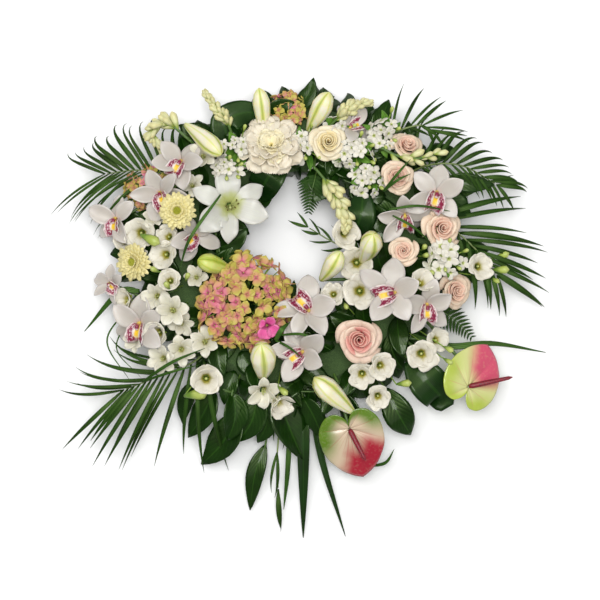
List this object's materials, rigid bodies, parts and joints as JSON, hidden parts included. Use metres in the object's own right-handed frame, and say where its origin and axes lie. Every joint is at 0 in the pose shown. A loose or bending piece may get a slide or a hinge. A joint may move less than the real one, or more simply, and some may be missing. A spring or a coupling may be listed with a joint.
{
  "type": "funeral wreath",
  "caption": "Round funeral wreath of fresh flowers and palm leaves on a wet foam ring in a shallow plastic tray, lying on its back with an open middle.",
  "frame": {"origin": "middle of the bounding box's bottom face, on the surface that the tray rests on", "axes": "+Z up, the way the flowers face; +Y towards the wreath's top, away from its trailing strap leaves; +X to the right as seen from above with +Y up"},
  "size_m": [0.7566, 0.6818, 0.1492],
  "materials": {
    "anthurium": "glossy green and pink spathe",
    "bud": "cream buds with green ribs",
    "cream": "cream petals",
    "fern": "thin matt fern",
    "foam": "wet green floral foam",
    "hydrangea": "green and pink florets",
    "leaf": "glossy dark green leaf",
    "lily": "white lily petals",
    "orchid": "waxy white petals with a spotted lip",
    "palm": "satin palm leaflets",
    "pink_rose": "pink rose petals",
    "rose": "peach rose petals",
    "tray": "dark green moulded tray",
    "white": "white petals",
    "yellow": "pale yellow ray petals"
  },
  "bodies": {
    "root": {"base_tray": "tray", "rose_pink": "pink_rose", "rose_right": "rose", "rose_upper_right": "rose", "rose_top_right": "rose", "rose_inner_right": "rose", "rose_far_right": "rose", "rose_cream": "cream", "orchid_spray_centre": "orchid", "orchid_spray_right": "orchid", "orchid_spray_upper_right": "orchid", "orchid_spray_upper_left": "orchid", "orchid_spray_left": "orchid", "lily_open": "lily", "lily_bud_top": "bud", "lily_bud_top_right": "bud", "lily_bud_top_left": "bud", "lily_bud_inner_right": "bud", "lily_bud_inner": "bud", "lily_bud_green": "bud", "lily_bud_lower": "bud", "lily_bud_lower_right": "bud", "hydrangea_head": "hydrangea", "peony": "cream", "chrysanthemum_upper": "yellow", "chrysanthemum_left": "yellow", "anthurium_right": "anthurium", "anthurium_lower": "anthurium", "lisianthus_spray_lower": "white", "lisianthus_spray_inner": "white", "lisianthus_spray_right": "white", "lisianthus_lower_left": "white", "freesia_spray_left": "white", "tuberose_top_left": "bud", "tuberose_inner": "bud", "aspidistra_top_left": "leaf", "aspidistra_fold_inner": "leaf", "aspidistra_fold_right": "leaf", "aspidistra_lower_right": "leaf", "strap_leaf_centre": "leaf", "strap_leaf_right": "leaf", "salal_leaf_hanging": "leaf", "rose_leaf_lower_right": "leaf", "salal_sprig_lower_left": "leaf", "salal_sprig_bottom": "leaf", "salal_sprig_inner_left": "leaf", "salal_sprig_inner_lower": "leaf", "salal_sprig_upper_right": "leaf", "salal_sprig_right": "leaf", "salal_sprig_left": "leaf", "fern_inner": "fern", "fern_right": "fern", "palm_frond_upper_left": "palm", "palm_frond_lower_left": "palm", "palm_frond_upper_right": "palm", "palm_frond_right": "palm", "palm_frond_lower_right": "palm", "palm_frond_inner": "palm", "palm_frond_bottom": "palm", "foam_ring": "foam"}
  },
  "joints": []
}
